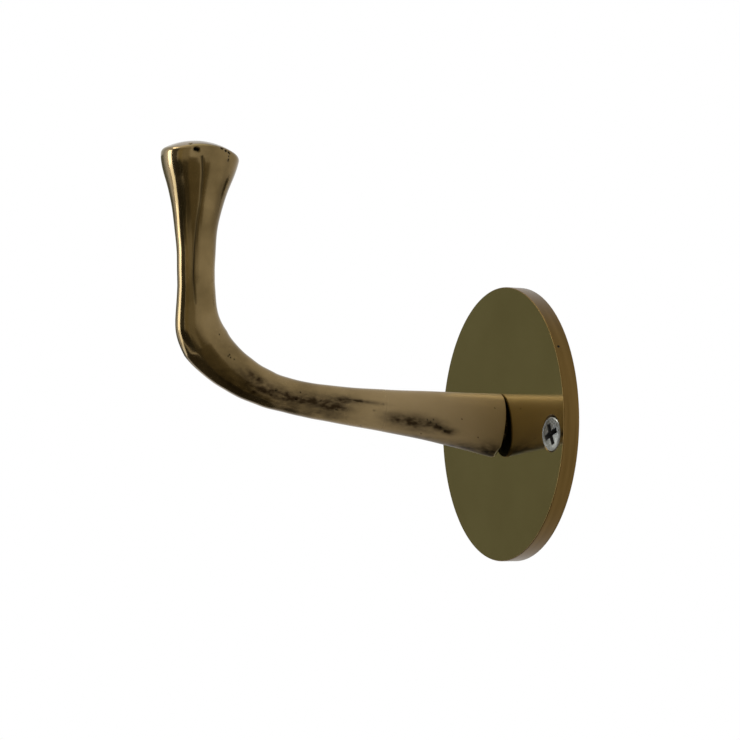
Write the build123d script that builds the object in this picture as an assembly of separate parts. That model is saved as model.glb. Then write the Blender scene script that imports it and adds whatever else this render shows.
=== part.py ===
from build123d import *
import os
from math import radians, sin, tan

# Robe hook: a cast brass arm held by one screw to a round brass back plate, which two more
# screws hold to the wall. Sizes are in millimetres. The wall is the plane Y = 0, the hook
# stands out to -Y, Z is up, and the origin is the centre of the plate's back face.

# Back plate
plate_diameter = 60.0
plate_thickness = 3.5
plate_edge_break = 0.25

# Wall screws: flat countersunk wood screws, one each side of the arm
wall_thread_diameter = 3.5
wall_neck_diameter = 2.6
wall_head_diameter = 7.3
wall_head_edge_break = 0.25
wall_screw_length = 25.0
wall_point_length = 6.0
wall_hole_clearance = 0.5
wall_head_clearance = 0.6
wall_hole_rim_margin = 1.5
wall_cross_turn = 22.0

# Arm screw: countersunk machine screw, put in from behind the plate
arm_shank_diameter = 5.0
arm_head_diameter = 9.2
arm_screw_length = 16.0
arm_end_chamfer = 0.8
arm_hole_clearance = 0.5
arm_head_clearance = 0.2
tapped_hole_spare = 1.5

# Countersinks, drill points and cross recesses
countersink_angle = 90.0
drill_point_angle = 118.0
wall_cross_span = 4.8
arm_cross_span = 5.2
cross_wing_width = 1.1
cross_depth = 2.0
cross_foot_share = 0.45

# Arm, centreline: a straight rising run, a bend and a nearly upright leg
arm_drop = 0.4
arm_rise_angle = 5.75
arm_reach = 73.95
bend_radius = 26.7
leg_lean = 0.6
tip_height = 56.4

# Arm, thickness up and down the bar at its foot, thinnest run, elbow, waist, shoulder and rim
foot_thickness = 14.1
thin_thickness = 7.3
elbow_thickness = 10.2
waist_thickness = 7.8
shoulder_thickness = 13.9
rim_thickness = 16.1

# Arm, width from side to side at the same places
foot_width = 9.4
thin_width = 5.5
elbow_width = 6.8
waist_width = 5.5
shoulder_width = 9.5
rim_width = 11.0

# Arm, distances of those places along the centreline from the foot
thin_at = 49.0
elbow_at = 70.0
waist_at = 82.0
shoulder_at = 103.4
rim_at = 107.8

# Arm, how the size runs from each place to the next, 1 being a straight taper
foot_curve = 1.7
elbow_rise_curve = 1.4
elbow_fall_curve = 1.15
flare_curve = 2.65
shoulder_curve = 1.45

# Arm, outward swell of the heel and lean of the rim to the wall
heel_swell = 1.8
heel_length = 14.4
rim_lean = 0.3

# Arm, fullness of the section's corners, 0.55 being an ellipse and 1 nearly a rectangle
upper_corner_fullness = 0.55
lower_corner_fullness = 0.66

# Arm, spacing of the sections in the straight run and above it, and the smooth part below the tip
run_pitch = 2.0
bend_pitch = 1.8
cap_length = 8.0

# Arm, domed tip, and the end at the plate with a flat filed on its lower front corner
dome_radius = 14.0
dome_offset = 1.0
tip_edge_radius = 2.2
foot_edge_break = 0.3
foot_flat_depth = 0.95
foot_flat_facing = (0.60, 0.45, -0.66)


def cone_depth(wide, narrow):
    """Depth of a countersink between two diameters."""
    return (wide - narrow) / 2 / tan(radians(countersink_angle / 2))


def cross_recess(span):
    """Tapered cross, cut down from the plane Z = 0."""
    cross = Part()
    for turn in (0, 90):
        mouth = Rot(0, 0, turn) * Rectangle(span, cross_wing_width)
        foot = Pos(0, 0, -cross_depth) * Rot(0, 0, turn) * Rectangle(
            span * cross_foot_share, cross_wing_width * cross_foot_share
        )
        cross += loft([mouth, foot])
    return cross


def countersunk_hole(shank, head):
    """Hole through the plate with its countersink at the plane Z = 0, opening to +Z."""
    mouth = cone_depth(head, shank)
    bore = Cylinder(shank / 2, 3 * plate_thickness)
    sink = Cone(shank / 2, head / 2, mouth, align=(Align.CENTER, Align.CENTER, Align.MAX))
    return bore + sink


def wall_screw_place(side):
    """Place of a wall screw on the plate's front face, with Z out of it, side being -1 or 1."""
    countersink = wall_head_diameter + wall_head_clearance
    x = side * (plate_diameter / 2 - wall_hole_rim_margin - countersink / 2)
    return Location(Plane(origin=(x, -plate_thickness, 0), x_dir=(1, 0, 0), z_dir=(0, -1, 0)))


def back_face():
    """Middle of the plate's back face, with Z out of it."""
    return Location(Plane(origin=(0, 0, 0), x_dir=(1, 0, 0), z_dir=(0, 1, 0)))


def back_plate():
    """Round plate with two countersunk holes in front and one behind."""
    plate = back_face() * Cylinder(
        plate_diameter / 2, plate_thickness, align=(Align.CENTER, Align.CENTER, Align.MAX)
    )
    plate = chamfer(plate.edges().sort_by(Axis.Y)[0], plate_edge_break)
    wall_hole = countersunk_hole(
        wall_thread_diameter + wall_hole_clearance, wall_head_diameter + wall_head_clearance
    )
    arm_hole = countersunk_hole(
        arm_shank_diameter + arm_hole_clearance, arm_head_diameter + arm_head_clearance
    )
    for side in (-1, 1):
        plate -= wall_screw_place(side) * wall_hole
    return plate - back_face() * arm_hole


def seat_depth(head_clearance):
    """How far a head's rim lies below the face when its cone seats in the countersink."""
    return head_clearance / 2 / tan(radians(countersink_angle / 2))


def wall_head_depth():
    """How far a wall screw's face lies below the plate's."""
    return seat_depth(wall_head_clearance) - wall_head_edge_break


def wall_screw():
    """Flat countersunk wood screw, its head's face in the plane Z = 0."""
    head = wall_head_diameter / 2
    neck = wall_neck_diameter / 2
    thread = wall_thread_diameter / 2
    thread_start = wall_head_depth() - plate_thickness
    corners = [
        (0, 0, 0),
        (head - wall_head_edge_break, 0, 0),
        (head, 0, -wall_head_edge_break),
        (neck, 0, -wall_head_edge_break - cone_depth(wall_head_diameter, wall_neck_diameter)),
        (neck, 0, thread_start),
        (thread, 0, thread_start),
        (thread, 0, wall_point_length - wall_screw_length),
        (0, 0, -wall_screw_length),
    ]
    screw = revolve(make_face(Polyline(*corners, close=True)), Axis.Z)
    return screw - cross_recess(wall_cross_span)


def wall_screws():
    """One wall screw each side of the arm, seated in the plate's countersinks."""
    screw = Pos(0, 0, -wall_head_depth()) * Rot(0, 0, wall_cross_turn) * wall_screw()
    return Compound(children=[wall_screw_place(side) * screw for side in (-1, 1)])


def arm_screw():
    """Countersunk machine screw, seated in the plate's back."""
    head = arm_head_diameter / 2
    shank = arm_shank_diameter / 2
    neck = -cone_depth(arm_head_diameter, arm_shank_diameter)
    corners = [
        (0, 0, 0),
        (head, 0, 0),
        (shank, 0, neck),
        (shank, 0, arm_end_chamfer - arm_screw_length),
        (shank - arm_end_chamfer, 0, -arm_screw_length),
        (0, 0, -arm_screw_length),
    ]
    screw = revolve(make_face(Polyline(*corners, close=True)), Axis.Z)
    screw -= cross_recess(arm_cross_span)
    return back_face() * Pos(0, 0, -seat_depth(arm_head_clearance)) * screw


def arm_centreline():
    """Straight run, bend and leg in the plane X = 0. The foot's top edge touches the plate."""
    rise = tan(radians(arm_rise_angle))
    stand_off = (foot_thickness / 2 - foot_edge_break) * sin(radians(arm_rise_angle))
    foot_y = -plate_thickness - stand_off
    corner_z = -arm_drop + (arm_reach + foot_y) * rise
    tip_y = -arm_reach - (tip_height - corner_z) * tan(radians(leg_lean))
    corners = [(0, foot_y, -arm_drop), (0, -arm_reach, corner_z), (0, tip_y, tip_height)]
    return FilletPolyline(*corners, radius=bend_radius)


def size_along(s, foot, thin, elbow, waist, shoulder, rim):
    """Size of the bar at a distance s along its centreline, between those at the six places."""
    if s < thin_at:
        return thin + (foot - thin) * (1 - s / thin_at) ** foot_curve
    if s < elbow_at:
        return thin + (elbow - thin) * ((s - thin_at) / (elbow_at - thin_at)) ** elbow_rise_curve
    if s < waist_at:
        left = 1 - (s - elbow_at) / (waist_at - elbow_at)
        return waist + (elbow - waist) * left**elbow_fall_curve
    if s < shoulder_at:
        share = (s - waist_at) / (shoulder_at - waist_at)
        return waist + (shoulder - waist) * share**flare_curve
    left = max(0, 1 - (s - shoulder_at) / (rim_at - shoulder_at))
    return rim - (rim - shoulder) * left**shoulder_curve


def side_shift(s):
    """How far the section is pushed outwards at the heel of the elbow, or inwards at the rim."""
    off = min(1, abs(s - elbow_at) / heel_length)
    flare = min(1, max(0, (s - waist_at) / (rim_at - waist_at)))
    return heel_swell * (1 - off) ** 2 * (1 + 2 * off) - rim_lean * flare**flare_curve


def oval(width, thickness):
    """Section of the bar: four quarters, the lower two with fuller corners."""
    side = width / 2
    top = thickness / 2
    ends = [Vector(0, -top), Vector(side, 0), Vector(0, top), Vector(-side, 0)]
    quarters = []
    for start, end in zip(ends, ends[1:] + ends[:1]):
        below = min(start.Y, end.Y) < 0
        fullness = lower_corner_fullness if below else upper_corner_fullness
        corner = start + end
        leave = start + (corner - start) * fullness
        arrive = end + (corner - end) * fullness
        quarters.append(Bezier(start, leave, arrive, end))
    return make_face(quarters)


def arm_section(s):
    """Section across the bar at a distance s along its centreline, or beyond the tip."""
    line = arm_centreline()
    on_line = min(s, line.length)
    along = line.tangent_at(on_line, PositionMode.LENGTH)
    centre = line.position_at(on_line, PositionMode.LENGTH) + along * (s - on_line)
    width = size_along(
        s, foot_width, thin_width, elbow_width, waist_width, shoulder_width, rim_width
    )
    thickness = size_along(
        s,
        foot_thickness,
        thin_thickness,
        elbow_thickness,
        waist_thickness,
        shoulder_thickness,
        rim_thickness,
    )
    outward = Vector(1, 0, 0).cross(along)
    place = Plane(origin=centre + outward * side_shift(s), x_dir=(1, 0, 0), z_dir=along)
    return place * oval(width, thickness)


def stations(start, end, pitch):
    """Evenly spaced distances from start to end, about a pitch apart."""
    count = max(1, round((end - start) / pitch))
    return [start + (end - start) * step / count for step in range(count + 1)]


def arm_bar():
    """Solid bar lofted along the centreline, past the tip by the radius of its edge."""
    length = arm_centreline().length
    cap_at = length - cap_length
    run = loft([arm_section(s) for s in stations(0, thin_at, run_pitch)], ruled=True)
    bend = loft([arm_section(s) for s in stations(thin_at, cap_at, bend_pitch)], ruled=True)
    cap = loft([arm_section(s) for s in stations(cap_at, length + tip_edge_radius, bend_pitch)])
    return run + bend + cap


def domed_tip(bar):
    """Cuts the flared end to a dome and rounds its edge."""
    tip = arm_centreline().position_at(1)
    ball = Pos(0, tip.Y - dome_offset, tip_height - dome_radius) * Sphere(dome_radius)
    block = Pos(0, tip.Y, tip_height) * Box(2 * rim_thickness, 2 * rim_thickness, dome_radius)
    bar -= block - ball
    dome = bar.faces().sort_by(Axis.Z)[-1]
    return fillet(dome.edges(), tip_edge_radius)


def filed_foot(bar):
    """Breaks the end's edge and files a flat on its lower front corner."""
    foot = bar.faces().sort_by(Axis.Y)[-1]
    bar = chamfer(foot.edges(), foot_edge_break)
    start = arm_centreline().position_at(0)
    reach = (4 + 3 * lower_corner_fullness) / 8
    corner = start + Vector(reach * foot_width / 2, 0, -reach * foot_thickness / 2)
    facing = Vector(*foot_flat_facing).normalized()
    file_plane = Plane(origin=corner - facing * foot_flat_depth, z_dir=facing)
    waste = Box(
        foot_thickness, foot_thickness, foot_thickness, align=(Align.CENTER, Align.CENTER, Align.MIN)
    )
    return bar - Location(file_plane) * waste


def tapped_hole():
    """Blind hole for the arm's screw, square to the wall, with a drilled point."""
    hole = arm_shank_diameter / 2
    point = hole / tan(radians(drill_point_angle / 2))
    depth = arm_screw_length + tapped_hole_spare
    bore = Cylinder(hole, depth, align=(Align.CENTER, Align.CENTER, Align.MAX))
    drill_tip = Pos(0, 0, -depth) * Cone(0, hole, point, align=(Align.CENTER, Align.CENTER, Align.MAX))
    return back_face() * (bore + drill_tip)


def hook_arm():
    """Cast arm with a domed tip, a filed foot and a tapped hole."""
    return filed_foot(domed_tip(arm_bar())) - tapped_hole()


if __name__ == "__main__":
    os.makedirs("parts", exist_ok=True)
    export_step(back_plate(), "parts/back_plate.step")
    export_step(hook_arm(), "parts/hook_arm.step")
    export_step(arm_screw(), "parts/arm_screw.step")
    export_step(wall_screws(), "parts/wall_screws.step")
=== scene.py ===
import math

import bmesh
import bpy
from mathutils import Matrix, Quaternion, Vector, geometry, noise


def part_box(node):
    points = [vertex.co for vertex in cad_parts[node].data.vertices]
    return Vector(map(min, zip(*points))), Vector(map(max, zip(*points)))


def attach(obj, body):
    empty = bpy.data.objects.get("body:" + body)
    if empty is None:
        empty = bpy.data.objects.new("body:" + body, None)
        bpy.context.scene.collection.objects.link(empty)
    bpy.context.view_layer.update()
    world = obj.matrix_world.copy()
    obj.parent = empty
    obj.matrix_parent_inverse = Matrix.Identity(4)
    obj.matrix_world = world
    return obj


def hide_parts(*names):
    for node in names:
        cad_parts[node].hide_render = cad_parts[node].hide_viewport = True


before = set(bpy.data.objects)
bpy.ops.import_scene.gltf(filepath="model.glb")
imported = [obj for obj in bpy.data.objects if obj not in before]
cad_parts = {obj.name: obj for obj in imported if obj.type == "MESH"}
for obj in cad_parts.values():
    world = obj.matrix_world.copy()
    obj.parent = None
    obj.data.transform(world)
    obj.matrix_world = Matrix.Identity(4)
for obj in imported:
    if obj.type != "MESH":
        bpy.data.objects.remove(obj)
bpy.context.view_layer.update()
mm = 0.001

# Camera: it stands to the hook's right and a little in front, nearly level with it,
# and is turned a little about its own line of sight, as the photograph shows.
camera_azimuth = math.radians(67.82)
camera_elevation = math.radians(2.15)
camera_roll = math.radians(2.81)
camera_distance = 400 * mm
camera_target = Vector((0, -34.71 * mm, 10.86 * mm))
camera_lens = 91.45
camera_sensor = 36
camera_near = 10 * mm

away = Vector((
    math.sin(camera_azimuth) * math.cos(camera_elevation),
    -math.cos(camera_azimuth) * math.cos(camera_elevation),
    math.sin(camera_elevation),
))
camera_data = bpy.data.cameras.new("camera")
camera_data.lens = camera_lens
camera_data.sensor_width = camera_sensor
camera_data.clip_start = camera_near
camera = bpy.data.objects.new("camera", camera_data)
camera.location = camera_target + away * camera_distance
camera.rotation_mode = "QUATERNION"
facing = (-away).to_track_quat("-Z", "Y")
camera.rotation_quaternion = facing @ Quaternion((0, 0, 1), camera_roll)
bpy.context.scene.collection.objects.link(camera)
bpy.context.scene.camera = camera
bpy.context.scene.view_settings.view_transform = "Standard"


# Back plate: a disc cut from brass sheet, turned at its rim and polished in front until it
# mirrors the arm. Two holes countersunk in front take the wall screws, one at the back the arm's.
plate_radius = 29.99 * mm
plate_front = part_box("back_plate")[0].y
plate_edge = 0.18 * mm
plate_segments = 256
plate_edge_steps = 6
hole_segments = 64
wall_hole_x = 24.55 * mm
wall_hole = 2.0 * mm
wall_sink = 3.95 * mm
arm_hole = 2.75 * mm
arm_sink = 4.7 * mm
overcut = 1 * mm
drill_reach = 6.54 * mm
weld_distance = 0.0001 * mm
sharp_angle = math.radians(25)
flat_cosine = 0.9999
plate_colour = (0.540, 0.465, 0.255, 1)
plate_cloud = (0.490, 0.415, 0.220, 1)
# Dark brown of the turned rim, also laid in the countersinks as painted shade round the screw
# heads
rim_and_sink_shade_colour = (0.135, 0.082, 0.025, 1)
rim_and_sink_shade_dark = (0.090, 0.053, 0.014, 1)
rim_share = 0.9
rim_pit = Vector((23.97, -2.6, 18.03)) * mm
rim_pit_radius = 0.3 * mm
rim_pit_detail = 3
rim_pit_reach = 0.33 * mm
rim_pit_lip = 0.05 * mm
# Near-black for the floors of pits and recesses, partly dirt and partly painted shade
hollow_dark_colour = (0.006, 0.005, 0.004, 1)
hollow_dark_light = (0.018, 0.015, 0.012, 1)


def turned(profile, segments):
    """Solid turned about Z from a half outline of radius and height, its ends on the axis."""
    mesh = bmesh.new()
    corners = [mesh.verts.new((radius, 0, height)) for radius, height in profile]
    edges = [mesh.edges.new(pair) for pair in zip(corners, corners[1:])]
    bmesh.ops.spin(
        mesh,
        geom=corners + edges,
        cent=(0, 0, 0),
        axis=(0, 0, 1),
        dvec=(0, 0, 0),
        angle=2 * math.pi,
        steps=segments,
        use_merge=True,
    )
    bmesh.ops.remove_doubles(mesh, verts=mesh.verts, dist=weld_distance)
    bmesh.ops.recalc_face_normals(mesh, faces=mesh.faces)
    return mesh


def place_piece(name, mesh, place=Matrix()):
    """A smooth-shaded object in the scene from a finished bmesh, its place in its mesh."""
    bmesh.ops.transform(mesh, matrix=place, verts=mesh.verts)
    for face in mesh.faces:
        face.smooth = True
    data = bpy.data.meshes.new(name)
    mesh.to_mesh(data)
    mesh.free()
    piece = bpy.data.objects.new(name, data)
    bpy.context.scene.collection.objects.link(piece)
    return piece


def cut_away(piece, tool):
    """Cuts one solid out of another and clears the tool away."""
    cut = piece.modifiers.new("cut", "BOOLEAN")
    cut.operation = "DIFFERENCE"
    cut.solver = "EXACT"
    cut.object = tool
    seen = piece.evaluated_get(bpy.context.evaluated_depsgraph_get())
    data = bpy.data.meshes.new_from_object(seen)
    piece.modifiers.clear()
    piece.data = data
    bpy.data.objects.remove(tool)


def sharpen(piece, flat_way):
    """Keeps edges sharp where they turn far, or where a flat face facing flat_way ends."""
    mesh = bmesh.new()
    mesh.from_mesh(piece.data)
    for edge in mesh.edges:
        if len(edge.link_faces) != 2:
            continue
        a, b = (face.normal for face in edge.link_faces)
        flat_a, flat_b = (abs(n.dot(flat_way)) > flat_cosine for n in (a, b))
        edge.smooth = a.angle(b, 0) < sharp_angle and flat_a == flat_b
    mesh.to_mesh(piece.data)
    mesh.free()


def new_material(name, metallic=1):
    """A material, of metal unless told otherwise, with its node tree and its main shader."""
    material = bpy.data.materials.new(name)
    material.use_nodes = True
    shader = material.node_tree.nodes["Principled BSDF"]
    shader.inputs["Metallic"].default_value = metallic
    return material, material.node_tree, shader


def add_node(tree, kind, **settings):
    """A node with settings on itself, or on its sockets by name."""
    node = tree.nodes.new(kind)
    for key, value in settings.items():
        if hasattr(node, key):
            setattr(node, key, value)
        else:
            node.inputs[key.replace("_", " ")].default_value = value
    return node


def ramp(tree, source, *stops):
    """Colour ramp read from a source, its stops given as position and colour."""
    node = add_node(tree, "ShaderNodeValToRGB")
    elements = node.color_ramp.elements
    for element, (position, colour) in zip(elements, (stops[0], stops[-1])):
        element.position = position
        element.color = colour
    for position, colour in stops[1:-1]:
        elements.new(position).color = colour
    tree.links.new(source, node.inputs["Fac"])
    return node.outputs["Color"]


def stretched_noise(tree, stretch, scale, detail):
    """Noise on the object's own coordinates, stretched along its axes."""
    place = add_node(tree, "ShaderNodeTexCoord")
    mapping = add_node(tree, "ShaderNodeMapping", Scale=stretch)
    cloud = add_node(tree, "ShaderNodeTexNoise", Scale=scale, Detail=detail)
    tree.links.new(place.outputs["Object"], mapping.inputs["Vector"])
    tree.links.new(mapping.outputs[0], cloud.inputs["Vector"])
    return cloud.outputs["Fac"]


def ranged(tree, source, low, high):
    """Spreads a value between 0 and 1 over another range."""
    node = add_node(tree, "ShaderNodeMapRange", To_Min=low, To_Max=high)
    tree.links.new(source, node.inputs["Value"])
    return node.outputs["Result"]


def bump(tree, shader, source, distance, strength):
    """Fine relief of the surface, as high as the source says."""
    node = add_node(tree, "ShaderNodeBump", Distance=distance, Strength=strength)
    tree.links.new(source, node.inputs["Height"])
    tree.links.new(node.outputs[0], shader.inputs["Normal"])


def plate_brass():
    """Polished brass with faint clouds of wear."""
    material, tree, shader = new_material("plate_brass")
    clouds = stretched_noise(tree, (1, 1, 1), scale=60, detail=4)
    brushed = stretched_noise(tree, (40, 40, 1), scale=60, detail=3)
    colour = ramp(tree, clouds, (0.3, plate_cloud), (0.7, plate_colour))
    tree.links.new(colour, shader.inputs["Base Color"])
    tree.links.new(ranged(tree, clouds, low=0.05, high=0.11), shader.inputs["Roughness"])
    bump(tree, shader, brushed, distance=0.002 * mm, strength=0.25)
    return material


def rim_brass_and_sink_shade():
    """The turned rim is browner and duller than the polished face; the same dark brown in the
    countersinks is painted shade.
    """
    material, tree, shader = new_material("rim_brass_and_sink_shade")
    streaks = stretched_noise(tree, (1, 14, 1), scale=55, detail=5)
    colour = ramp(tree, streaks, (0.3, rim_and_sink_shade_dark), (0.7, rim_and_sink_shade_colour))
    tree.links.new(colour, shader.inputs["Base Color"])
    tree.links.new(ranged(tree, streaks, low=0.28, high=0.42), shader.inputs["Roughness"])
    bump(tree, shader, streaks, distance=0.02 * mm, strength=0.4)
    return material


def hollow_dirt_and_shade():
    """Dull near-black in the bottom of a pit or a recess: partly dirt, partly painted shade."""
    material, tree, shader = new_material("hollow_dirt_and_shade", 0)
    shader.inputs["Roughness"].default_value = 0.8
    grain = stretched_noise(tree, (1, 1, 1), scale=1500, detail=3)
    colour = ramp(tree, grain, (0.3, hollow_dark_colour), (0.8, hollow_dark_light))
    tree.links.new(colour, shader.inputs["Base Color"])
    return material


def countersink_tool(shank, head, x, facing_front):
    """Stepped drill that leaves a countersunk hole, from the front or from the back."""
    outline = [
        (0, overcut), (head + overcut, overcut), (shank, -(head - shank)),
        (shank, -drill_reach), (0, -drill_reach),
    ]
    turn = math.radians(90 if facing_front else -90)
    y = plate_front if facing_front else 0
    place = Matrix.Translation((x, y, 0)) @ Matrix.Rotation(turn, 4, "X")
    return place_piece("drill", turned(outline, hole_segments), place)


def plate_piece():
    """Disc with a rounded front edge, its drilled holes and a small pit in the rim."""
    corner = []
    for step in range(plate_edge_steps + 1):
        swing = math.pi / 2 * step / plate_edge_steps
        corner.append((
            plate_radius - plate_edge * (1 - math.sin(swing)),
            -plate_front - plate_edge * (1 - math.cos(swing)),
        ))
    outline = [(0, -plate_front), *corner, (plate_radius, 0), (0, 0)]
    stand = Matrix.Rotation(math.radians(90), 4, "X")
    plate = place_piece("turned_plate", turned(outline, plate_segments), stand)
    for x in (-wall_hole_x, wall_hole_x):
        cut_away(plate, countersink_tool(wall_hole, wall_sink, x, True))
    cut_away(plate, countersink_tool(arm_hole, arm_sink, 0, False))
    pit = bmesh.new()
    bmesh.ops.create_icosphere(pit, subdivisions=rim_pit_detail, radius=rim_pit_radius)
    cut_away(plate, place_piece("pit", pit, Matrix.Translation(rim_pit)))
    sharpen(plate, Vector((0, 1, 0)))
    plate.data.materials.clear()
    for finish in (plate_brass(), rim_brass_and_sink_shade(), hollow_dark):
        plate.data.materials.append(finish)
    for face in plate.data.polygons:
        out = math.hypot(face.center.x, face.center.z)
        # Faces off the front plane take the dark rim brass: the rim's own colour, and painted
        # shade in the countersinks
        rim_or_shaded_sink = out > plate_radius - rim_share * plate_edge or abs(face.normal.y) < flat_cosine
        # The rim pit's floor is painted near-black, dirt and painted shade in the hollow
        near_pit = (face.center - rim_pit).length < rim_pit_reach
        in_pit = near_pit and out < plate_radius - rim_pit_lip
        face.material_index = 2 if in_pit else int(rim_or_shaded_sink)
    return plate


hollow_dark = hollow_dirt_and_shade()
plate = plate_piece()
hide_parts("back_plate")
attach(plate, "root")


# Arm: one brass casting, filed and polished by hand. Its oval section tapers from the foot,
# thickens at the elbow, and flares to a domed tip. A tapped hole in the foot takes its screw.
arm_drop = 0.4 * mm
arm_rise = math.radians(5.75)
arm_reach = 73.95 * mm
bend_radius = 26.7 * mm
leg_lean = math.radians(0.6)
tip_height = 56.4 * mm
thickness_places = (14.1 * mm, 7.3 * mm, 10.2 * mm, 7.8 * mm, 13.9 * mm, 16.1 * mm)
width_places = (9.4 * mm, 5.5 * mm, 6.8 * mm, 5.5 * mm, 9.5 * mm, 11.0 * mm)
thin_at = 49 * mm
elbow_at = 70 * mm
waist_at = 82 * mm
shoulder_at = 103.4 * mm
rim_at = 107.8 * mm
foot_curve = 1.7
elbow_rise_curve = 1.4
elbow_fall_curve = 1.15
flare_curve = 2.65
shoulder_curve = 1.45
heel_swell = 1.8 * mm
heel_length = 14.4 * mm
rim_lean = 0.3 * mm
upper_fullness = 0.55
lower_fullness = 0.66
flare_front_fullness = 1.05
flare_side_fullness = 0.56
dome_radius = 14 * mm
dome_offset = 0.4 * mm
tip_edge = 1.5 * mm
foot_edge = 0.3 * mm
foot_flat_depth = 0.7 * mm
foot_flat_facing = Vector((0.60, 0.45, -0.66)).normalized()
bore_radius = 2.5 * mm
bore_depth = 17.5 * mm
bore_point = 1.5 * mm
ring_points = 200
ring_spacing = 0.28 * mm
cap_start = 99 * mm
cap_rings = 30
edge_rings = 10
dome_rings = 20
knee_steps = 30
slope_step = 0.2 * mm
hand_waves = 0.03 * mm
wave_width = 2.4 * mm
wave_length = 14 * mm
wave_start = 1 * mm
wave_ease = 3 * mm
heel_bump = 0.32 * mm
heel_bump_at = 74 * mm
heel_bump_length = 3.2 * mm

# How far the hand-bent bar wanders to its inner side, as distance along and wander
bar_wander = (
    (0, 0), (8, 0.08), (17, 0.16), (27, 0), (35, -0.12), (42, -0.05), (49.5, 0.27), (54, 0.03),
    (58, -0.20), (62, -0.02), (66, 0.12), (70, 0.02), (74, -0.05), (80, 0.16), (87, 0),
    (94, -0.28), (99, -0.20), (104, -0.12), (112, -0.08),
)


def size_along(s, foot, thin, elbow, waist, shoulder, rim):
    """Size of the bar at a distance s along its centreline."""
    if s < thin_at:
        return thin + (foot - thin) * (1 - s / thin_at) ** foot_curve
    if s < elbow_at:
        return thin + (elbow - thin) * ((s - thin_at) / (elbow_at - thin_at)) ** elbow_rise_curve
    if s < waist_at:
        left = 1 - (s - elbow_at) / (waist_at - elbow_at)
        return waist + (elbow - waist) * left**elbow_fall_curve
    if s < shoulder_at:
        share = (s - waist_at) / (shoulder_at - waist_at)
        return waist + (shoulder - waist) * share**flare_curve
    left = max(0, 1 - (s - shoulder_at) / (rim_at - shoulder_at))
    return rim - (rim - shoulder) * left**shoulder_curve


def side_shift(s):
    """How far the section is pushed outwards at the heel, or inwards at the rim."""
    off = min(1, abs(s - elbow_at) / heel_length)
    flare = min(1, max(0, (s - waist_at) / (rim_at - waist_at)))
    return heel_swell * (1 - off) ** 2 * (1 + 2 * off) - rim_lean * flare**flare_curve


def wander(s):
    """Hand-bent wander of the centreline to the inner side, eased from place to place."""
    for (s0, shift0), (s1, shift1) in zip(bar_wander, bar_wander[1:]):
        if s0 * mm <= s < s1 * mm:
            t = (s / mm - s0) / (s1 - s0)
            return (shift0 + (shift1 - shift0) * t * t * (3 - 2 * t)) * mm
    return 0


def heel_corner(s):
    """Extra thickness of the heel's outer corner."""
    return heel_bump * math.exp(-(((s - heel_bump_at) / heel_bump_length) ** 2))


stand_off = (thickness_places[0] / 2 - foot_edge) * math.sin(arm_rise)
foot_point = Vector((0, plate_front - stand_off, -arm_drop))
corner_z = -arm_drop + (arm_reach + foot_point.y) * math.tan(arm_rise)
corner = Vector((0, -arm_reach, corner_z))
tip_point = Vector((0, -arm_reach - (tip_height - corner_z) * math.tan(leg_lean), tip_height))
run_way = (corner - foot_point).normalized()
leg_way = (tip_point - corner).normalized()
turn = run_way.angle(leg_way)
run_length = (corner - foot_point).length - bend_radius * math.tan(turn / 2)
bend_length = bend_radius * turn
leg_length = (tip_point - corner).length - bend_radius * math.tan(turn / 2)
arm_length = run_length + bend_length + leg_length


def section_place(s):
    """Matrix of the section at s: X to the side, Y to the inner side of the bend, Z along."""
    if s < run_length:
        centre, swing = foot_point + run_way * s, 0
    elif s < run_length + bend_length:
        swing = (s - run_length) / bend_radius
        centre = foot_point + run_way * run_length
    else:
        swing = turn
        centre = tip_point - leg_way * (arm_length - s)
    along = Quaternion((1, 0, 0), -swing) @ run_way
    inward = along.cross(Vector((1, 0, 0)))
    if 0 < swing < turn:
        start_inward = run_way.cross(Vector((1, 0, 0)))
        centre = centre + start_inward * bend_radius - inward * bend_radius
    centre = centre - inward * (side_shift(s) + heel_corner(s) / 2 - wander(s))
    return Matrix((
        (1, inward.x, along.x, centre.x),
        (0, inward.y, along.y, centre.y),
        (0, inward.z, along.z, centre.z),
        (0, 0, 0, 1),
    ))


def unit_section(front_fullness, side_fullness):
    """Oval of half width and half height 1, its outer side flatter and its corners fuller."""
    ends = [Vector((0, -1)), Vector((1, 0)), Vector((0, 1)), Vector((-1, 0))]
    points = []
    for quarter, (start, end) in enumerate(zip(ends, ends[1:] + ends[:1])):
        leave_share, arrive_share = (
            (front_fullness, side_fullness),
            (upper_fullness, upper_fullness),
            (upper_fullness, upper_fullness),
            (side_fullness, front_fullness),
        )[quarter]
        square = start + end
        leave = start + (square - start) * leave_share
        arrive = end + (square - end) * arrive_share
        steps = ring_points // 4 + 1
        points += geometry.interpolate_bezier(start, leave, arrive, end, steps)[:-1]
    return points


bar_section = unit_section(lower_fullness, lower_fullness)
flare_section = unit_section(flare_front_fullness, flare_side_fullness)


def section_at(s):
    """Unit section at s, which turns flatter in front up the flare."""
    share = min(1, max(0, (s - waist_at) / (shoulder_at - waist_at)))
    share = share * share * (3 - 2 * share)
    return [a.lerp(b, share) for a, b in zip(bar_section, flare_section)]


def half_sizes(s):
    """Half the width and half the thickness of the bar at s."""
    return (
        size_along(s, *width_places) / 2,
        (size_along(s, *thickness_places) + heel_corner(s)) / 2,
    )


def side_point(s, point):
    """Place on the bar's side at s, for a point of the unit section."""
    width, height = half_sizes(s)
    return section_place(s) @ Vector((point.x * width, point.y * height, 0))


def move_ring(ring, s, inset=0):
    """Moves a ring of vertices to the section at s, inset by a broken edge."""
    place = section_place(s)
    width, height = (size - inset for size in half_sizes(s))
    for vertex, point in zip(ring, section_at(s)):
        vertex.co = place @ Vector((point.x * width, point.y * height, 0))


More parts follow.
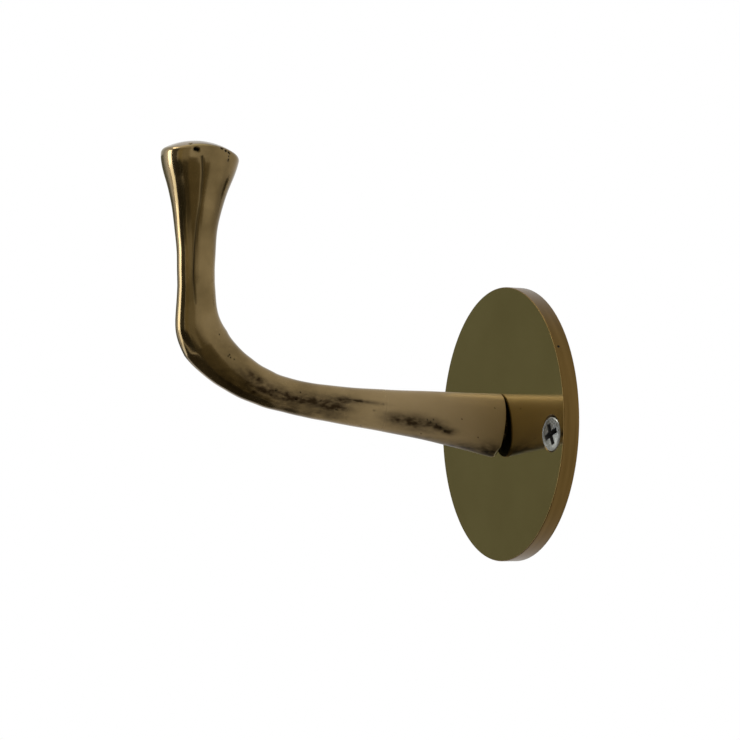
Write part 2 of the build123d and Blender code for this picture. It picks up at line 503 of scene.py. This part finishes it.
def next_ring(mesh, ring):
    """Extrudes a closed ring and gives the new ring, point for point."""
    edges = [mesh.edges.get((ring[i - 1], ring[i])) for i in range(len(ring))]
    made = bmesh.ops.extrude_edge_only(mesh, edges=edges)["geom"]
    new = {v for v in made if isinstance(v, bmesh.types.BMVert)}
    return [next(e.other_vert(v) for e in v.link_edges if e.other_vert(v) in new) for v in ring]


ball = Vector((0, tip_point.y - dome_offset, tip_height - dome_radius))


def tip_line(point):
    """One line over the tip: where its edge starts, the edge's three points, and the spoke."""

    def spoke(s):
        place = side_point(s, point)
        return Vector((place.x, place.y - ball.y)).length, place.z, place

    low, high = cap_start, arm_length + tip_edge
    for _ in range(knee_steps):
        knee_at = (low + high) / 2
        radius, height, place = spoke(knee_at)
        if height < ball.z + math.sqrt(dome_radius**2 - radius**2):
            low = knee_at
        else:
            high = knee_at
    before_radius, before_height, _ = spoke(knee_at - slope_step)
    side_way = Vector((radius - before_radius, height - before_height)).normalized()
    slope = math.asin(radius / dome_radius)
    dome_way = Vector((-math.cos(slope), math.sin(slope)))
    setback = tip_edge * math.tan(side_way.angle(dome_way) / 2)
    edge_at = knee_at - setback
    edge_radius, edge_height, _ = spoke(edge_at)
    inner = radius - setback * math.cos(slope)
    inner_height = ball.z + math.sqrt(dome_radius**2 - inner**2)
    outward = Vector((place.x, place.y - ball.y, 0)).normalized()
    curve = (
        Vector((edge_radius, edge_height)), Vector((radius, height)), Vector((inner, inner_height))
    )
    return edge_at, curve, outward


def over_tip(curve, outward, step):
    """Place on the tip's edge or dome, counted in rings from the start of the edge."""
    if step <= edge_rings:
        t = step / edge_rings
        spot = curve[0] * (1 - t) ** 2 + curve[1] * 2 * t * (1 - t) + curve[2] * t**2
    else:
        across = curve[2].x * (1 - (step - edge_rings) / (dome_rings + 1))
        spot = Vector((across, ball.z + math.sqrt(dome_radius**2 - across**2)))
    return Vector((0, ball.y, 0)) + outward * spot.x + Vector((0, 0, spot.y))


def add_tip(mesh, ring):
    """Last stretch of the side, up to the tip's soft edge, then the edge and the dome."""
    lines = [tip_line(point) for point in flare_section]
    low_section = section_at(cap_start)
    for step in range(1, cap_rings + 1):
        ring = next_ring(mesh, ring)
        share = step / cap_rings
        ease = min(1, 2 * share)
        for vertex, low, high, (edge_at, _, _) in zip(ring, low_section, flare_section, lines):
            s = cap_start + (edge_at - cap_start) * share
            vertex.co = side_point(s, low.lerp(high, ease * ease * (3 - 2 * ease)))
    for step in range(1, edge_rings + dome_rings + 1):
        ring = next_ring(mesh, ring)
        for vertex, (_, curve, outward) in zip(ring, lines):
            vertex.co = over_tip(curve, outward, step)
    crown = mesh.faces.new(ring)
    bmesh.ops.poke(mesh, faces=[crown])


def add_foot(mesh, ring):
    """Broken edge, flat end, and the tapped hole that runs square to the wall."""
    end = section_place(0)
    slant = end.col[2].z / end.col[2].y
    width, height = (size - foot_edge for size in half_sizes(0))
    ring = next_ring(mesh, ring)
    move_ring(ring, 0, foot_edge)
    for mouth in (0.75, 0.5, 0.25, 0):
        ring = next_ring(mesh, ring)
        for vertex, point in zip(ring, bar_section):
            oval = end @ Vector((point.x * width, point.y * height, 0))
            way = Vector((point.x, 0, point.y)).normalized() * bore_radius
            way.y = foot_point.y - slant * (way.z - foot_point.z)
            vertex.co = way.lerp(oval, mouth)
    for depth in (0.25, 0.5, 0.75, 1):
        ring = next_ring(mesh, ring)
        for vertex, point in zip(ring, bar_section):
            way = Vector((point.x, 0, point.y)).normalized() * bore_radius
            mouth_y = foot_point.y - slant * (way.z - foot_point.z)
            way.y = mouth_y * (1 - depth) - bore_depth * depth
            vertex.co = way
    floor = mesh.faces.new(ring)
    tip = bmesh.ops.poke(mesh, faces=[floor])["verts"][0]
    tip.co.y -= bore_point


def file_flat(mesh):
    """Files a flat on the foot's lower right corner at the plate, halfway round the oval there."""
    reach = (4 + 3 * lower_fullness) / 8
    corner_spot = foot_point + Vector((
        reach * width_places[0] / 2, 0, -reach * thickness_places[0] / 2
    ))
    everything = mesh.verts[:] + mesh.edges[:] + mesh.faces[:]
    cut = bmesh.ops.bisect_plane(
        mesh,
        geom=everything,
        plane_co=corner_spot - foot_flat_facing * foot_flat_depth,
        plane_no=foot_flat_facing,
        clear_outer=True,
    )
    edges = [item for item in cut["geom_cut"] if isinstance(item, bmesh.types.BMEdge)]
    bmesh.ops.edgeloop_fill(mesh, edges=edges)


# Marks of the casting that polishing left, as x, y, z, radius and depth in millimetres
tip_pits = (
    (4.5, -77.7, 55.2, 0.35, 0.30), (5.2, -77.1, 54.3, 0.45, 0.45), (5.3, -76.5, 54.1, 0.40, 0.40),
    (4.65, -71.6, 54.7, 0.27, 0.25), (4.55, -71.1, 54.6, 0.25, 0.25),
    (4.4, -70.5, 54.3, 0.28, 0.30), (4.25, -70.0, 54.1, 0.25, 0.25),
    (4.2, -69.6, 53.9, 0.21, 0.20), (4.4, -69.8, 53.4, 0.18, 0.15),
    (4.5, -69.8, 52.9, 0.18, 0.15), (4.55, -69.8, 52.4, 0.18, 0.15),
)
bar_pits = (
    (3.0, -67.2, 13.2, 0.20, 0.12), (3.0, -67.4, 12.8, 0.16, 0.10), (3.0, -66.9, 12.6, 0.16, 0.10),
    (2.95, -66.0, 12.2, 0.14, 0.08), (2.8, -69.4, 17.2, 0.16, 0.06), (3.1, -34.5, 2.4, 0.15, 0.08),
    (3.0, -32.5, 3.8, 0.14, 0.08), (1.6, -36.9, -0.9, 0.16, 0.08), (2.7, -23.4, -2.3, 0.16, 0.08),
    (3.7, -6.7, 3.6, 0.14, 0.08), (4.0, -14.6, 1.2, 0.16, 0.06), (4.0, -10.5, -2.8, 0.16, 0.08),
    (3.65, -22.4, 0.8, 0.20, 0.10), (3.67, -21.0, 0.9, 0.22, 0.10), (3.65, -21.7, 0.3, 0.18, 0.10),
    (3.67, -20.2, -0.2, 0.22, 0.12), (3.65, -19.3, -0.8, 0.22, 0.12),
    (3.6, -18.1, -1.6, 0.25, 0.12),
    (2.8, -52.3, 4.3, 0.18, 0.10), (2.8, -56.7, 6.0, 0.20, 0.10), (2.5, -51.1, 5.8, 0.16, 0.08),
    (2.8, -43.0, 2.4, 0.20, 0.10), (2.8, -46.7, 4.2, 0.16, 0.08),
)

# A pit's slope as share of its radius, the skin it looks for, and how dark its floor is painted,
# as dirt and painted shade
pit_spread = 1.5
pit_search = 1.6 * mm
tip_pit_darkness = 1.8
bar_pit_darkness = 1.0


def press_pits(mesh, darkness):
    """Presses each pit into the nearest skin and marks its floor dark, as dirt and painted shade.
    """
    mesh.normal_update()
    pits = [(pit, tip_pit_darkness) for pit in tip_pits] + [(pit, bar_pit_darkness) for pit in bar_pits]
    for (x, y, z, radius, depth), hollow_dark in pits:
        spot = Vector((x, y, z)) * mm
        near = [vertex for vertex in mesh.verts if (vertex.co - spot).length < pit_search]
        middle = min((vertex.co.copy() for vertex in near), key=lambda at: (at - spot).length)
        for vertex in near:
            share = (vertex.co - middle).length / (radius * mm)
            if share < pit_spread:
                fall = (1 - (share / pit_spread) ** 2) ** 2
                vertex.co -= vertex.normal * depth * mm * fall
                # The pit's floor is painted dark: dirt and painted shade in the hollow
                vertex[darkness] = max(vertex[darkness], min(1, fall * hollow_dark))


# The seam runs up the riser as distance along the bar and place across it, in millimetres
seam_line = (
    (78.0, -1.6, 0.3), (81.2, -1.3, 0.7), (84.5, -1.3, 1.0), (89.7, -1.3, 0.9), (95.0, -1.1, 0.7),
    (98.8, -0.7, 0.7), (104.0, -0.75, 0.9), (107.9, -1.25, 1.0),
)
seam_width = 0.25 * mm
seam_depth = 0.045 * mm
# The seam's groove is painted dark, a painted dark reflection line
seam_shade = 0.8

# A shallow streak beside it, drawn the same way; its darker band is a painted reflection
right_streak = (
    (90.0, 2.3, 0.0), (94.0, 2.6, 0.6), (99.1, 3.3, 0.9), (104.0, 4.2, 0.8), (107.5, 4.7, 0.5),
)
streak_width = 0.8 * mm
streak_depth = 0.035 * mm
streak_shade = 0.35
marks_start = 0.5 * mm


def line_at(line, s):
    """Place across the bar and strength of a drawn line at a distance s."""
    for (s0, across0, strength0), (s1, across1, strength1) in zip(line, line[1:]):
        if s0 * mm <= s <= s1 * mm:
            t = (s / mm - s0) / (s1 - s0)
            across = across0 + (across1 - across0) * t
            return across * mm, strength0 + (strength1 - strength0) * t
    return 0, 0


def groove(line, s, across, half_width):
    """How deep a drawn line is at a place, from 0 to 1."""
    middle, strength = line_at(line, s)
    return strength * math.exp(-(((across - middle) / half_width) ** 2))


# Dark smudges, partly old tarnish and partly painted shade and painted reflection (the run's
# underside near the foot, the heel), as distance along, place across, half length, half width and
# darkness
smudges = (
    (58.0, 0.6, 3.2, 0.8, 0.80), (67.0, 0.5, 5.0, 1.8, 0.25),
    (57.0, -0.8, 4.5, 1.5, 0.75), (51.5, -0.3, 5.0, 1.4, 0.85), (45.5, -0.1, 5.0, 1.4, 0.85),
    (40.5, -0.5, 3.6, 1.4, 0.90), (38.0, 1.0, 3.2, 0.8, 0.75), (34.0, 1.35, 3.6, 0.32, 0.75),
    (57.5, -1.9, 3.6, 1.1, 0.70), (42.0, -1.9, 4.0, 0.8, 0.65),
    (59.5, -0.3, 3.0, 0.9, 0.75), (40.0, -2.3, 3.0, 0.8, 0.60),
    (62.0, -0.8, 3.0, 0.6, 0.40), (50.0, -2.1, 10.0, 1.2, 0.60), (62.0, -3.2, 7.0, 1.3, 0.50),
    (24.5, -1.3, 3.0, 1.0, 0.80), (21.0, -1.5, 3.0, 1.2, 0.90), (17.5, -1.6, 2.6, 1.0, 0.80),
    (15.5, -1.9, 1.8, 0.7, 0.90), (13.0, -2.5, 1.4, 0.6, 0.95), (20.0, -2.9, 5.0, 0.6, 0.45),
    (2.0, -6.0, 3.0, 1.6, 0.80), (9.0, -5.9, 6.0, 1.0, 0.75), (20.0, -5.2, 7.0, 0.8, 0.55),
)

# How a smudge fades outwards, and the two sizes of noise that break it up
smudge_fade = 0.5
smudge_strength = 1.12
grain_strength = 0.45
grain_coarse = 0.8 * mm
grain_fine = 0.35 * mm
grain_fine_share = 0.7
grain_stretch = 0.5


def tarnish_and_shade_at(s, across, place):
    """Darkness of the smudges, tarnish and painted shade, broken up by noise that is drawn out
    along the run.
    """
    total = 0
    for along, middle, length, width, darkness in smudges:
        way = ((s / mm - along) / length) ** 2 + ((across / mm - middle) / width) ** 2
        total = max(total, darkness * math.exp(-way * smudge_fade))
    drawn_out = Vector((place.x, grain_stretch * place.y, place.z))
    grain = noise.noise(drawn_out / grain_coarse)
    grain += grain_fine_share * noise.noise(drawn_out / grain_fine)
    return min(1, total * (smudge_strength + grain_strength * grain))


# The run is satin where the riser is bright; near the foot its colour is lighter, a painted sheen,
# and both fade out along the bar
satin_end = 12 * mm
satin_fade = 45 * mm

# The foot's flat end, in the gap at the plate, is painted near-black as painted shade
end_cosine = 0.8
end_depth = 0.6 * mm

# Above this height over the bend's centre, a place is always on the leg
leg_zone = 30 * mm


def bar_place(spot):
    """Distance along the centreline and place across it, towards the inner side."""
    bend_start = foot_point + run_way * run_length
    inward = run_way.cross(Vector((1, 0, 0)))
    centre = bend_start + inward * bend_radius
    arm = spot - centre
    swing = math.atan2(arm.dot(run_way), -arm.dot(inward))
    if spot.dot(run_way) <= bend_start.dot(run_way):
        return (spot - foot_point).dot(run_way), (spot - foot_point).dot(inward)
    if swing >= turn or spot.z > centre.z + leg_zone:
        leg_inward = leg_way.cross(Vector((1, 0, 0)))
        return arm_length - (tip_point - spot).dot(leg_way), (spot - tip_point).dot(leg_inward)
    return run_length + bend_radius * swing, bend_radius - Vector((0, arm.y, arm.z)).length


def arm_mesh():
    """The whole casting, with its marks pressed in and its stains, painted shade and painted sheen
    kept point by point.
    """
    mesh = bmesh.new()
    tarnish_and_shade = mesh.verts.layers.float.new("tarnish_and_shade")
    shade_and_dirt = mesh.verts.layers.float.new("shade_and_dirt")
    satin_and_sheen = mesh.verts.layers.float.new("satin_and_sheen")
    ring = bmesh.ops.create_circle(mesh, segments=ring_points, radius=1)["verts"]
    move_ring(ring, foot_edge)
    first = ring
    count = round((cap_start - foot_edge) / ring_spacing)
    for step in range(1, count + 1):
        s = foot_edge + (cap_start - foot_edge) * step / count
        ring = next_ring(mesh, ring)
        move_ring(ring, s)
    add_tip(mesh, ring)
    add_foot(mesh, first)
    file_flat(mesh)
    bmesh.ops.recalc_face_normals(mesh, faces=mesh.faces)
    mesh.normal_update()
    for vertex in mesh.verts:
        s, across = bar_place(vertex.co)
        if vertex.co.x > 0 and s > marks_start:
            dip = groove(seam_line, s, across, seam_width)
            dent = groove(right_streak, s, across, streak_width)
            # Smudges and the streak's band: tarnish, painted shade and painted reflection
            vertex[tarnish_and_shade] = max(tarnish_and_shade_at(s, across, vertex.co), streak_shade * dent)
            vertex[shade_and_dirt] = seam_shade * dip
            vertex.co -= vertex.normal * (seam_depth * dip + streak_depth * dent)
        if s > wave_start:
            lengthways = Vector((vertex.co.x / wave_width, across / wave_width, s / wave_length))
            ease = min(1, (s - wave_start) / wave_ease)
            vertex.co += vertex.normal * noise.noise(lengthways) * hand_waves * ease
        vertex[satin_and_sheen] = 1 - min(1, max(0, (s - satin_end) / satin_fade))
        # The flat end is painted near-black: painted shade in the gap at the plate
        if vertex.normal.y > end_cosine and s < end_depth:
            vertex[shade_and_dirt] = 1
    press_pits(mesh, shade_and_dirt)
    return mesh


def blend_colours(tree, factor, below, above):
    """Lays a colour over another by a factor; below is a socket."""
    node = add_node(tree, "ShaderNodeMix", data_type="RGBA")
    tree.links.new(factor, node.inputs["Factor"])
    tree.links.new(below, node.inputs[6])
    node.inputs[7].default_value = above
    return node.outputs[2]


def greatest(tree, a, b):
    """The greater of two values."""
    node = add_node(tree, "ShaderNodeMath", operation="MAXIMUM")
    tree.links.new(a, node.inputs[0])
    tree.links.new(b, node.inputs[1])
    return node.outputs[0]


def surface_value(tree, name):
    """A value that the mesh carries from point to point."""
    return add_node(tree, "ShaderNodeAttribute", attribute_name=name).outputs["Fac"]


# The bright riser's three tones, the satin foot's lighter colour (a painted sheen), and the
# tarnish, dirt and painted shade that lie over them
skin_dark = (0.130, 0.090, 0.037, 1)
skin_middle = (0.190, 0.133, 0.058, 1)
skin_light = (0.240, 0.172, 0.082, 1)
# Lighter colour of the satin foot, a painted sheen
satin_sheen_colour = (0.290, 0.205, 0.098, 1)
satin_share = 0.7
satin_metal = 0.45
bright_metal = 0.97
satin_roughness = 0.42
# Near-black of the smudges: tarnish and painted shade
tarnish_and_shade_colour = (0.020, 0.012, 0.005, 1)
# Near-black of the pit floors, the seam line and the foot's end: dirt and painted shade
shade_and_dirt_colour = (0.004, 0.003, 0.002, 1)


def arm_brass():
    """Polished riser, satin foot painted lighter as a painted sheen, and the smudges, dirt,
    painted shade and painted reflection laid over both.
    """
    material, tree, shader = new_material("arm_brass")
    clouds = stretched_noise(tree, (1, 1, 1), scale=110, detail=6)
    fine = stretched_noise(tree, (1, 1, 1), scale=900, detail=4)
    bright = ramp(tree, clouds, (0.30, skin_dark), (0.50, skin_middle), (0.70, skin_light))
    shade_and_dirt = surface_value(tree, "shade_and_dirt")
    tarnish_and_shade = surface_value(tree, "tarnish_and_shade")
    satin_and_sheen = surface_value(tree, "satin_and_sheen")
    # The foot's satin colour is lighter, a painted sheen
    skin = blend_colours(tree, ranged(tree, satin_and_sheen, 0, satin_share), bright, satin_sheen_colour)
    # Dark smudges laid over the colour: tarnish, painted shade and painted reflection
    tarnished_and_shaded = blend_colours(tree, tarnish_and_shade, skin, tarnish_and_shade_colour)
    # Near-black laid over the colour: dirt in pits, painted shade and painted reflection on the
    # seam and the foot's end
    darkened = blend_colours(tree, shade_and_dirt, tarnished_and_shaded, shade_and_dirt_colour)
    tree.links.new(darkened, shader.inputs["Base Color"])
    metal = ranged(tree, satin_and_sheen, bright_metal, satin_metal)
    tree.links.new(greatest(tree, metal, tarnish_and_shade), shader.inputs["Metallic"])
    shader.inputs["Specular IOR Level"].default_value = 0.2
    gloss = ranged(tree, clouds, low=0.10, high=0.22)
    satin = ranged(tree, satin_and_sheen, 0, satin_roughness)
    tree.links.new(greatest(tree, greatest(tree, gloss, satin), shade_and_dirt), shader.inputs["Roughness"])
    bump(tree, shader, fine, distance=0.006 * mm, strength=0.5)
    return material


arm = place_piece("cast_arm", arm_mesh())
sharpen(arm, Vector((0, 0, 0)))
arm.data.materials.append(arm_brass())
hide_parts("hook_arm")
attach(arm, "root")


# Arm screw: a countersunk steel machine screw, put in from behind the plate and
# tightened into the arm's foot, where the wall covers it.
steel_colour = (0.40, 0.40, 0.39, 1)
steel_dark = (0.22, 0.22, 0.215, 1)


def screw_steel():
    """Plain steel, a little speckled."""
    material, tree, shader = new_material("screw_steel")
    speckle = stretched_noise(tree, (1, 1, 1), scale=900, detail=4)
    colour = ramp(tree, speckle, (0.35, steel_dark), (0.65, steel_colour))
    tree.links.new(colour, shader.inputs["Base Color"])
    tree.links.new(ranged(tree, speckle, low=0.18, high=0.36), shader.inputs["Roughness"])
    return material


steel = screw_steel()
arm_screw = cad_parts["arm_screw"]
arm_screw.data.materials.clear()
arm_screw.data.materials.append(steel)


# Wall screws: zinc plated wood screws with slightly crowned, cross-recessed heads, one each
# side of the arm. Each leans a little in its countersink. The wall hides their threads.
head_radius = 3.55 * mm
head_edge = 0.28 * mm
head_stand = 0.01 * mm
head_drop = 0.15 * mm
neck_radius = 1.3 * mm
thread_radius = 1.75 * mm
thread_root = 1.15 * mm
thread_half = 0.35 * mm
thread_pitch = 1.6 * mm
thread_start = 3.7 * mm
thread_end_gap = 1.0 * mm
thread_overrun = 0.4 * mm
thread_least = 0.05
point_start = 19 * mm
screw_length = 25 * mm
screw_segments = 64
thread_steps = 24
cross_span = 4.5 * mm
cross_width = 1.15 * mm
cross_depth = 2.0 * mm
cross_mouth = 1.12
cross_foot = 0.45
cross_above = 0.22
recess_reach = 2.52 * mm
recess_lip = 0.12 * mm
recess_floor = 2.2 * mm
screw_colour = (0.27, 0.27, 0.24, 1)
screw_dark = (0.19, 0.19, 0.17, 1)
zinc_metal = 0.8

# The head's slight crown, as share of its radius and height in millimetres
head_crown = ((0, 0.20), (0.25, 0.18), (0.5, 0.14), (0.7, 0.08))

# The raised ring at its edge, as way in from the edge in edge widths and height in millimetres
head_ring = ((1.6, 0.02), (1.1, 0.042), (0.6, 0.042), (0.15, -0.07), (0, -0.28))


def screw_blank():
    """Head, neck and point of the screw, the head's edge just below the plane Z = 0."""
    outline = [(share * head_radius, height * mm) for share, height in head_crown]
    outline += [(head_radius - way * head_edge, height * mm) for way, height in head_ring]
    outline += [
        (neck_radius, -head_edge - (head_radius - neck_radius)),
        (neck_radius, -point_start),
        (0, -screw_length),
    ]
    return turned(outline, screw_segments)


def screw_thread():
    """Ridge wound round the neck, running out at the point."""
    mesh = bmesh.new()
    corners = [
        mesh.verts.new((thread_root, 0, -thread_start)),
        mesh.verts.new((thread_radius, 0, -thread_start - thread_half)),
        mesh.verts.new((thread_root, 0, -thread_start - 2 * thread_half)),
    ]
    ridge = mesh.faces.new(corners)
    turns = (screw_length - thread_start - thread_end_gap) / thread_pitch
    steps = round(turns * thread_steps)
    bmesh.ops.spin(
        mesh,
        geom=[ridge],
        cent=(0, 0, 0),
        axis=(0, 0, 1),
        dvec=(0, 0, -thread_pitch / thread_steps),
        angle=2 * math.pi * steps / thread_steps,
        steps=steps,
        use_merge=False,
    )
    for vertex in mesh.verts:
        left = (screw_length + thread_overrun + vertex.co.z) / (screw_length - point_start)
        if left < 1:
            vertex.co.x *= max(thread_least, left)
            vertex.co.y *= max(thread_least, left)
    bmesh.ops.recalc_face_normals(mesh, faces=mesh.faces)
    return mesh


def cross_tool(turn_angle):
    """Tapered wing of the cross recess."""
    mesh = bmesh.new()
    bmesh.ops.create_cube(mesh, size=2)
    for vertex in mesh.verts:
        share = cross_mouth if vertex.co.z > 0 else cross_foot
        vertex.co.x *= cross_span / 2 * share
        vertex.co.y *= cross_width / 2 * share
        vertex.co.z = cross_above * cross_depth if vertex.co.z > 0 else -cross_depth
    return place_piece("cross", mesh, Matrix.Rotation(turn_angle, 4, "Z"))


def screw_zinc():
    """Dull zinc plating, a little speckled."""
    material, tree, shader = new_material("screw_zinc", zinc_metal)
    speckle = stretched_noise(tree, (1, 1, 1), scale=700, detail=4)
    colour = ramp(tree, speckle, (0.35, screw_dark), (0.65, screw_colour))
    tree.links.new(colour, shader.inputs["Base Color"])
    tree.links.new(ranged(tree, speckle, low=0.20, high=0.34), shader.inputs["Roughness"])
    bump(tree, shader, speckle, distance=0.01 * mm, strength=0.5)
    return material


def wall_screw(name, x, lean, twist):
    """One screw in its hole; its lean sideways and the turn of its cross are in degrees."""
    screw = place_piece(name, screw_blank())
    cut_away(screw, cross_tool(0))
    cut_away(screw, cross_tool(math.pi / 2))
    whole = bmesh.new()
    whole.from_mesh(screw.data)
    ridge = bpy.data.meshes.new("ridge")
    thread = screw_thread()
    thread.to_mesh(ridge)
    thread.free()
    whole.from_mesh(ridge)
    place = (
        Matrix.Translation((x, plate_front - head_stand, -head_drop))
        @ Matrix.Rotation(math.radians(lean), 4, "Z")
        @ Matrix.Rotation(math.radians(90), 4, "X")
        @ Matrix.Rotation(math.radians(twist), 4, "Z")
    )
    bmesh.ops.transform(whole, matrix=place, verts=whole.verts)
    for face in whole.faces:
        face.smooth = True
    whole.to_mesh(screw.data)
    whole.free()
    sharpen(screw, Vector((0, 0, 0)))
    screw.data.materials.clear()
    screw.data.materials.append(zinc)
    screw.data.materials.append(hollow_dark)
    face_way = place.to_3x3() @ Vector((0, 0, 1))
    face_middle = place.translation
    # Faces inside the cross recess are painted near-black, dirt and painted shade in the recess
    for face in screw.data.polygons:
        below = (face_middle - face.center).dot(face_way)
        out = (face.center - face_middle + face_way * below).length
        inside = out < recess_reach and recess_lip < below < recess_floor
        face.material_index = int(inside and face.normal.dot(face.center - face_middle) < 0)
    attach(screw, "root")
    return screw


zinc = screw_zinc()
right_screw = wall_screw("right_wall_screw", wall_hole_x, 5, 28)
left_screw = wall_screw("left_wall_screw", -wall_hole_x, -1.5, 51)
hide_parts("wall_screws")
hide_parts("wall_screws")


# Stage: a white wall just behind the plate, which the screws enter, and a pale floor
# below the view. Cards and a lamp stand around them, outside the object.
wall_gap = 0.3 * mm
wall_size = 3.0
floor_drop = 0.35
pale = (0.8, 0.8, 0.8, 1)
room_strength = 0.6
arm_middle = Vector((0, -60 * mm, 25 * mm))
plate_spot = Vector((-0.61 * mm, plate_front - 0.56 * mm, -1.92 * mm))


def direct_rays(tree):
    """1 for a ray from the lens, or one that metal or glass sends on; 0 for the others."""
    rays = add_node(tree, "ShaderNodeLightPath")
    lens_or_metal = greatest(tree, rays.outputs["Is Camera Ray"], rays.outputs["Is Glossy Ray"])
    return greatest(tree, lens_or_metal, rays.outputs["Is Transmission Ray"])


def mixed(tree, factor, below, above):
    """One shader over another by a factor."""
    node = add_node(tree, "ShaderNodeMixShader")
    for place, source in enumerate((factor, below, above)):
        tree.links.new(source, node.inputs[place])
    return node.outputs[0]


def white_backdrop(name, one_sided):
    """Plain pale surface that the lens and the metal see as white."""
    material, tree, shader = new_material(name, 0)
    shader.inputs["Base Color"].default_value = pale
    shader.inputs["Roughness"].default_value = 0.9
    white = add_node(tree, "ShaderNodeEmission", Strength=1.0)
    look = mixed(tree, direct_rays(tree), shader.outputs[0], white.outputs[0])
    if one_sided:
        side = add_node(tree, "ShaderNodeNewGeometry")
        clear = add_node(tree, "ShaderNodeBsdfTransparent")
        look = mixed(tree, side.outputs["Backfacing"], look, clear.outputs[0])
    tree.links.new(look, tree.nodes["Material Output"].inputs["Surface"])
    return material


def toward(azimuth, elevation):
    """Direction given in degrees: azimuth from -Y toward +X, elevation up."""
    a, e = math.radians(azimuth), math.radians(elevation)
    return Vector((math.sin(a) * math.cos(e), -math.cos(a) * math.cos(e), math.sin(e)))


def stage_sheet(name, size, place, material):
    """Flat sheet, facing the way that the matrix turns its Z."""
    mesh = bmesh.new()
    bmesh.ops.create_grid(mesh, x_segments=1, y_segments=1, size=0.5)
    bmesh.ops.scale(mesh, verts=mesh.verts, vec=(size[0], size[1], 1))
    sheet = place_piece(name, mesh, place)
    sheet.data.materials.append(material)
    return sheet


facing_room = Matrix.Translation((0, wall_gap, 0)) @ Matrix.Rotation(math.radians(90), 4, "X")
stage_sheet("wall", (wall_size, wall_size), facing_room, white_backdrop("wall_white", True))
floor_place = Matrix.Translation((0, -wall_size / 2, -floor_drop))
stage_sheet("floor", (wall_size, wall_size), floor_place, white_backdrop("floor_white", False))


def card(name, azimuth, elevation, distance, size, glow, centre=arm_middle):
    """Sheet that faces the hook from a direction, seen only in its reflections."""
    material, tree, _ = new_material(name)
    light = add_node(tree, "ShaderNodeEmission", Color=(*glow, 1), Strength=1.0)
    tree.links.new(light.outputs[0], tree.nodes["Material Output"].inputs["Surface"])
    way = toward(azimuth, elevation)
    turned_to = (-way).to_track_quat("Z", "Y").to_matrix().to_4x4()
    place = Matrix.Translation(centre + way * distance) @ turned_to
    sheet = stage_sheet(name, size, place, material)
    sheet.visible_camera = False
    sheet.visible_shadow = False
    sheet.visible_diffuse = False


# Each card's azimuth, elevation, distance, size and glow, in degrees and metres
card("pale_left_card", -98, 0, 0.90, (0.60, 1.6), (0.80, 0.80, 0.72))
card("dim_left_card", -68, 0, 0.88, (0.34, 1.6), (0.70, 0.70, 0.62))
card("window_side_card", -47, -6, 0.86, (0.32, 1.2), (1.3, 1.3, 1.25))
card("window_card", -23, 6, 0.84, (0.42, 0.60), (7.5, 8.0, 9.2))
card("low_window_card", -21, -31, 0.68, (0.30, 0.48), (4.4, 4.7, 5.4))
card("heel_window_card", -42, -40, 0.66, (0.26, 0.30), (3.4, 3.7, 4.2))
card("dark_front_card", 14, 15, 0.80, (0.68, 1.2), (0.15, 0.15, 0.135))
card("brown_card", 52, 15, 0.80, (0.36, 1.2), (0.56, 0.51, 0.34))
card("dark_low_card", 29, -42, 0.70, (1.10, 0.85), (0.06, 0.06, 0.05))
card("dim_right_card", 76, 10, 0.82, (0.42, 1.2), (0.58, 0.55, 0.46))
card("low_right_card", 82, -40, 0.66, (0.40, 0.75), (0.15, 0.135, 0.095))
card("low_wall_card", 104, -25, 0.27, (0.19, 0.25), (0.28, 0.245, 0.16))
card("dark_floor_card", 40, -78, 0.33, (0.8, 0.5), (0.10, 0.09, 0.07))
card("ceiling_card", -100, 75, 0.9, (0.9, 0.9), (1.5, 1.5, 1.5))
card("top_card", -137, 83, 0.176, (0.09, 0.09), (1.65, 1.75, 1.65))
card("flare_card", 103, -15, 0.202, (0.12, 0.075), (0.34, 0.30, 0.20))
card("plate_card", -64, -3, 0.25, (0.11, 0.16), (0.160, 0.155, 0.098), plate_spot)

world = bpy.data.worlds.new("room")
bpy.context.scene.world = world
world.use_nodes = True
tree = world.node_tree
ground = tree.nodes["Background"]
ground.inputs["Color"].default_value = pale
ground.inputs["Strength"].default_value = room_strength
white = add_node(tree, "ShaderNodeBackground", Strength=1.0, Color=(1, 1, 1, 1))
look = mixed(tree, direct_rays(tree), ground.outputs[0], white.outputs[0])
tree.links.new(look, tree.nodes["World Output"].inputs["Surface"])

# One soft lamp, high on the left, added to the light of the pale room
lamp_way = toward(-35, 60)
lamp_distance = 1.2
lamp_middle = Vector((0, -40 * mm, 10 * mm))
lamp_data = bpy.data.lights.new("left_lamp", "AREA")
lamp_data.size = 0.5
lamp_data.energy = 6
lamp = bpy.data.objects.new("left_lamp", lamp_data)
lamp.location = lamp_middle + lamp_way * lamp_distance
lamp.rotation_mode = "QUATERNION"
lamp.rotation_quaternion = (-lamp_way).to_track_quat("-Z", "Y")
bpy.context.scene.collection.objects.link(lamp)
